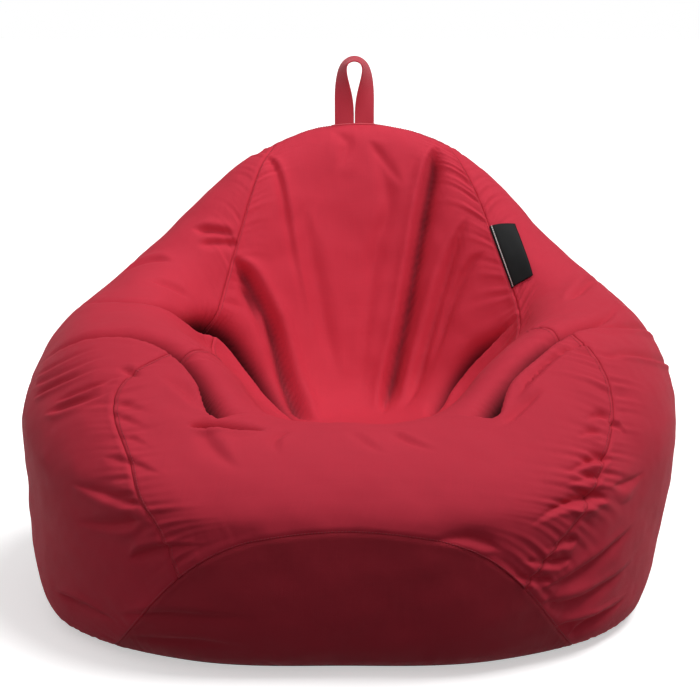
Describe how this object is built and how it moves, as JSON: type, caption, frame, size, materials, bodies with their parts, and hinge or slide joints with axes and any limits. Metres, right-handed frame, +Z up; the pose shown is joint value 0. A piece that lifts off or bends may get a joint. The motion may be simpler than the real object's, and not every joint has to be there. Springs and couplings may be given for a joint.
{
  "type": "bean bag chair",
  "caption": "Free-standing bean bag armchair: a sewn cover round a bead-filled liner, with a backrest, rolled arms, a carry loop on the crest and a zip down the back.",
  "frame": {"origin": "on the floor under the middle of the bag, in the plane of its flat base", "axes": "+X to the right as seen from in front, +Y to the back, +Z up; the sitter faces -Y"},
  "size_m": [0.9526, 0.8916, 0.7678],
  "materials": {
    "cover_cloth": "matte",
    "base_cloth": "matte",
    "webbing": "matte",
    "label_satin": "satin",
    "care_satin": "satin",
    "zip_tape": "matte",
    "zip_teeth": "satin",
    "zip_metal": "satin",
    "liner_cloth": "matte",
    "beads": "matte"
  },
  "bodies": {
    "bag": {"seat_back_panel": "cover_cloth", "side_panel_left": "cover_cloth", "side_panel_right": "cover_cloth", "front_base_panel": "cover_cloth", "rear_panel_left": "cover_cloth", "rear_panel_right": "cover_cloth", "base_panel": "base_cloth", "handle_anchor": "webbing", "zip_tape_left": "zip_tape", "zip_tape_right": "zip_tape", "zip_teeth_left": "zip_teeth", "zip_teeth_right": "zip_teeth", "zip_top_stop": "zip_metal", "zip_bottom_stop": "zip_metal", "liner_body": "liner_cloth", "liner_base": "liner_cloth", "liner_zip": "liner_cloth", "bead_fill": "beads"},
    "handle": {"handle_loop": "webbing"},
    "label": {"side_label": "label_satin"},
    "care_tag": {"care_label": "care_satin"},
    "slider": {"zip_slider": "zip_metal"},
    "pull": {"zip_pull": "zip_metal"}
  },
  "joints": [
    {"name": "handle_fold", "type": "hinge", "parent": "bag", "child": "handle", "pos_m": [0.007, 0.30383, 0.66657], "axis": [1, 0, 0], "range_deg": [-80, 80], "stiffness_Nm_per_rad": 0.05},
    {"name": "label_flap", "type": "hinge", "parent": "bag", "child": "label", "pos_m": [0.21834, 0.19552, 0.5096], "axis": [0.2824, -0.505, -0.8156], "range_deg": [0, 110], "stiffness_Nm_per_rad": 0.002},
    {"name": "care_tag_flap", "type": "hinge", "parent": "bag", "child": "care_tag", "pos_m": [-0.00104, 0.43179, 0.23058], "axis": [-0.0343, 0.2026, -0.9787], "range_deg": [0, 150], "stiffness_Nm_per_rad": 0.001},
    {"name": "zip_slide", "type": "slide", "parent": "bag", "child": "slider", "axis": [0.0343, -0.2026, 0.9787], "range_m": [0, 0.226]},
    {"name": "pull_swing", "type": "hinge", "parent": "slider", "child": "pull", "pos_m": [0.00048, 0.42925, 0.27542], "axis": [0.9994, 0.0069, -0.0335], "range_deg": [0, 160]}
  ]
}
